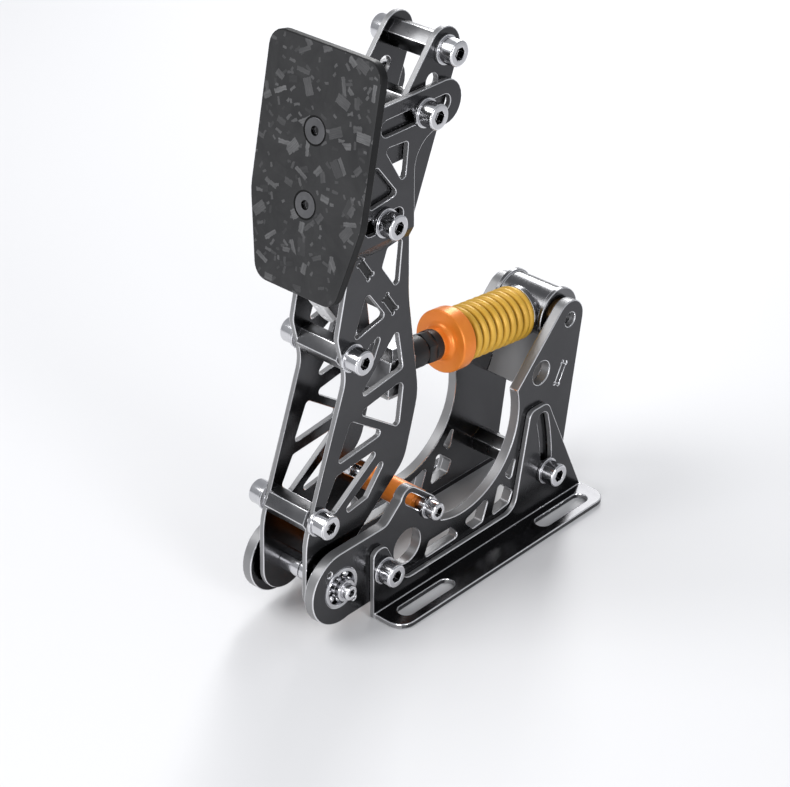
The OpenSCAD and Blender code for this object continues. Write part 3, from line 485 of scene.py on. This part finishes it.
# Face plate. Short pieces of carbon tape pressed flat in dark resin, so pale chips with ragged ends
# lie here and there at all angles, each with its own strands. Two countersunk socket screws hold it.
chip = bpy.data.node_groups.new("tape_chip", "ShaderNodeTree")
chip.interface.new_socket("Vector", in_out="INPUT", socket_type="NodeSocketVector")
for socket in ("Shift", "Scale", "Length", "Width", "Share"):
    chip.interface.new_socket(socket, in_out="INPUT", socket_type="NodeSocketFloat")
chip.interface.new_socket("Value", in_out="OUTPUT", socket_type="NodeSocketFloat")
tear = 0.0012
strand_pitch = (120.0, 1600.0, 1.0)
c_in, c_out, c_move, c_fray, c_torn, c_cells = add_nodes(
    chip, "NodeGroupInput", "NodeGroupOutput", "ShaderNodeVectorMath", "ShaderNodeTexNoise",
    "ShaderNodeVectorMath", "ShaderNodeTexVoronoi")
c_parts, c_from, c_angle, c_turn, c_axes = add_nodes(
    chip, "ShaderNodeSeparateColor", "ShaderNodeVectorMath", "ShaderNodeMath", "ShaderNodeVectorRotate",
    "ShaderNodeSeparateXYZ")
c_move.operation = "ADD"
c_fray.inputs["Scale"].default_value = 650.0
c_fray.inputs["Detail"].default_value = 3.0
c_torn.operation = "MULTIPLY_ADD"
c_torn.inputs[1].default_value = (tear, tear, 0.0)
c_cells.voronoi_dimensions = "2D"
c_from.operation = "SUBTRACT"
c_angle.operation = "MULTIPLY"
c_angle.inputs[1].default_value = 2 * math.pi
c_turn.rotation_type = "Z_AXIS"
chip.links.new(c_in.outputs["Vector"], c_move.inputs[0])
chip.links.new(c_in.outputs["Shift"], c_move.inputs[1])
chip.links.new(c_move.outputs["Vector"], c_fray.inputs["Vector"])
chip.links.new(c_fray.outputs["Color"], c_torn.inputs[0])
chip.links.new(c_move.outputs["Vector"], c_torn.inputs[2])
chip.links.new(c_torn.outputs["Vector"], c_cells.inputs["Vector"])
chip.links.new(c_in.outputs["Scale"], c_cells.inputs["Scale"])
chip.links.new(c_cells.outputs["Color"], c_parts.inputs["Color"])
chip.links.new(c_torn.outputs["Vector"], c_from.inputs[0])
chip.links.new(c_cells.outputs["Position"], c_from.inputs[1])
chip.links.new(c_parts.outputs["Red"], c_angle.inputs[0])
chip.links.new(c_from.outputs["Vector"], c_turn.inputs["Vector"])
chip.links.new(c_angle.outputs["Value"], c_turn.inputs["Angle"])
chip.links.new(c_turn.outputs["Vector"], c_axes.inputs["Vector"])
inside = c_parts.outputs["Blue"]
for axis, limit in (("X", "Length"), ("Y", "Width")):
    size, within, both = add_nodes(chip, "ShaderNodeMath", "ShaderNodeMath", "ShaderNodeMath")
    size.operation = "ABSOLUTE"
    within.operation = "LESS_THAN"
    both.operation = "MULTIPLY"
    chip.links.new(c_axes.outputs[axis], size.inputs[0])
    chip.links.new(size.outputs["Value"], within.inputs[0])
    chip.links.new(c_in.outputs[limit], within.inputs[1])
    chip.links.new(within.outputs["Value"], both.inputs[0])
    chip.links.new(inside, both.inputs[1])
    inside = both.outputs["Value"]
c_pick, c_shown, c_comb, c_strand, c_sheen, c_lit = add_nodes(
    chip, "ShaderNodeMath", "ShaderNodeMath", "ShaderNodeVectorMath", "ShaderNodeTexNoise",
    "ShaderNodeMapRange", "ShaderNodeMath")
c_pick.operation = "LESS_THAN"
c_shown.operation = "MULTIPLY"
c_comb.operation = "MULTIPLY"
c_comb.inputs[1].default_value = strand_pitch
c_strand.inputs["Scale"].default_value = 1.0
c_sheen.inputs["From Min"].default_value = 0.35
c_sheen.inputs["From Max"].default_value = 0.65
c_sheen.inputs["To Min"].default_value = 0.55
c_lit.operation = "MULTIPLY"
chip.links.new(c_parts.outputs["Green"], c_pick.inputs[0])
chip.links.new(c_in.outputs["Share"], c_pick.inputs[1])
chip.links.new(c_pick.outputs["Value"], c_shown.inputs[0])
chip.links.new(inside, c_shown.inputs[1])
chip.links.new(c_turn.outputs["Vector"], c_comb.inputs[0])
chip.links.new(c_comb.outputs["Vector"], c_strand.inputs["Vector"])
chip.links.new(c_strand.outputs["Fac"], c_sheen.inputs["Value"])
chip.links.new(c_shown.outputs["Value"], c_lit.inputs[0])
chip.links.new(c_sheen.outputs["Result"], c_lit.inputs[1])
chip.links.new(c_lit.outputs["Value"], c_out.inputs["Value"])

face_lean = math.radians(12)
screw_places = ((-0.09256, 0, 0.26781), (-0.10004, 0, 0.23259))
countersink_shade_reach = 0.0072
socket_shade_reach = 0.0024
broad_facing = 0.9
carbon, tree, shader = new_finish("pressed_carbon_chips", 0.0)
place, level, axes, across_face = add_nodes(
    tree, "ShaderNodeTexCoord", "ShaderNodeVectorRotate", "ShaderNodeSeparateXYZ",
    "ShaderNodeCombineXYZ")
level.rotation_type = "Y_AXIS"
level.inputs["Angle"].default_value = -face_lean
tree.links.new(place.outputs["Object"], level.inputs["Vector"])
tree.links.new(level.outputs["Vector"], axes.inputs["Vector"])
tree.links.new(axes.outputs["Y"], across_face.inputs["X"])
tree.links.new(axes.outputs["Z"], across_face.inputs["Y"])
chips = None
for shift, scale, length, width, share in (
        (0.11, 62.0, 0.0042, 0.0024, 0.42),
        (0.37, 85.0, 0.0040, 0.0011, 0.45),
        (0.73, 105.0, 0.0026, 0.0016, 0.40),
        (1.19, 150.0, 0.0019, 0.0007, 0.45),
        (1.61, 210.0, 0.0011, 0.0006, 0.35)):
    layer = place_group(tree, chip, Shift=shift, Scale=scale, Length=length, Width=width, Share=share)
    tree.links.new(across_face.outputs["Vector"], layer.inputs["Vector"])
    if chips is None:
        chips = layer
    else:
        over = tree.nodes.new("ShaderNodeMath")
        over.operation = "MAXIMUM"
        tree.links.new(chips.outputs["Value"], over.inputs[0])
        tree.links.new(layer.outputs["Value"], over.inputs[1])
        chips = over
resin = place_group(tree, handling, Size=55.0, Low=0.0, High=1.0)
resin_tone, painted_rim_shade, chip_tone, chip_rough, chip_edge, facing, own_facing, split = add_nodes(
    tree, "ShaderNodeMix", "ShaderNodeMix", "ShaderNodeMix", "ShaderNodeMapRange", "ShaderNodeBump",
    "ShaderNodeNewGeometry", "ShaderNodeVectorTransform", "ShaderNodeSeparateXYZ")
sideways, broad, chips_or_shaded_rim = add_nodes(tree, "ShaderNodeMath", "ShaderNodeMath", "ShaderNodeMix")
resin_tone.data_type = "RGBA"
resin_tone.inputs["A"].default_value = (0.024, 0.024, 0.025, 1)
resin_tone.inputs["B"].default_value = (0.036, 0.036, 0.037, 1)
chip_tone.data_type = "RGBA"
chip_tone.inputs["B"].default_value = (0.125, 0.125, 0.128, 1)
chip_rough.inputs["To Min"].default_value = 0.44
chip_rough.inputs["To Max"].default_value = 0.34
chip_edge.inputs["Strength"].default_value = 0.05
chip_edge.inputs["Distance"].default_value = grain_height
own_facing.vector_type = "NORMAL"
own_facing.convert_from = "WORLD"
own_facing.convert_to = "OBJECT"
sideways.operation = "ABSOLUTE"
broad.operation = "GREATER_THAN"
broad.inputs[1].default_value = broad_facing
chips_or_shaded_rim.data_type = "RGBA"
# Painted shade: the sides of the plate, away from its broad faces, are coloured near black, darker than
# the resin itself.
painted_rim_shade.data_type = "RGBA"
painted_rim_shade.inputs["A"].default_value = (0.006, 0.006, 0.0065, 1)
painted_rim_shade.inputs["B"].default_value = (0.012, 0.012, 0.0125, 1)
shader.inputs["Specular IOR Level"].default_value = 0.15
tree.links.new(resin.outputs["Value"], resin_tone.inputs["Factor"])
tree.links.new(resin_tone.outputs["Result"], chip_tone.inputs["A"])
tree.links.new(chips.outputs["Value"], chip_tone.inputs["Factor"])
tree.links.new(chips.outputs["Value"], chip_rough.inputs["Value"])
tree.links.new(chip_rough.outputs["Result"], shader.inputs["Roughness"])
tree.links.new(chips.outputs["Value"], chip_edge.inputs["Height"])
tree.links.new(chip_edge.outputs["Normal"], shader.inputs["Normal"])
tree.links.new(facing.outputs["True Normal"], own_facing.inputs["Vector"])
tree.links.new(own_facing.outputs["Vector"], split.inputs["Vector"])
tree.links.new(resin.outputs["Value"], painted_rim_shade.inputs["Factor"])
tree.links.new(painted_rim_shade.outputs["Result"], chips_or_shaded_rim.inputs["A"])
tree.links.new(split.outputs["X"], sideways.inputs[0])
tree.links.new(sideways.outputs["Value"], broad.inputs[0])
tree.links.new(broad.outputs["Value"], chips_or_shaded_rim.inputs["Factor"])
tree.links.new(chip_tone.outputs["Result"], chips_or_shaded_rim.inputs["B"])


# Painted shade: within reach of each screw's middle the base colour is mixed to near black, standing for
# shade in the countersink and the socket.
def paint_shade_round_screws(tree, bare, reach):
    for screw_place in screw_places:
        place, away, near, shade = add_nodes(
            tree, "ShaderNodeTexCoord", "ShaderNodeVectorMath", "ShaderNodeMath", "ShaderNodeMix")
        away.operation = "DISTANCE"
        away.inputs[1].default_value = screw_place
        near.operation = "LESS_THAN"
        near.inputs[1].default_value = reach
        shade.data_type = "RGBA"
        shade.inputs["B"].default_value = (0.004, 0.004, 0.004, 1)
        tree.links.new(place.outputs["Object"], away.inputs[0])
        tree.links.new(away.outputs["Value"], near.inputs[0])
        tree.links.new(near.outputs["Value"], shade.inputs["Factor"])
        tree.links.new(bare, shade.inputs["A"])
        bare = shade.outputs["Result"]
    tree.links.new(bare, tree.nodes["Principled BSDF"].inputs["Base Color"])


# Painted shade on the face plate round each countersunk screw.
paint_shade_round_screws(tree, chips_or_shaded_rim.outputs["Result"], countersink_shade_reach)
dress(("face_plate",), carbon, carbon, edge=0.0006)
screw_steel = metal_finish(
    "dull_screw_steel", dark=(0.15, 0.15, 0.155), pale=(0.20, 0.20, 0.205),
    cloud_size=70.0, shiny=0.36, dull=0.48, stretch=(900.0, 900.0, 900.0), depth=0.05)
tree = screw_steel.node_tree
bare = tree.nodes["Principled BSDF"].inputs["Base Color"].links[0].from_socket
# Painted shade in each face screw's socket.
paint_shade_round_screws(tree, bare, socket_shade_reach)
dress(("face_screws",), screw_steel, screw_steel, edge=0.0002)
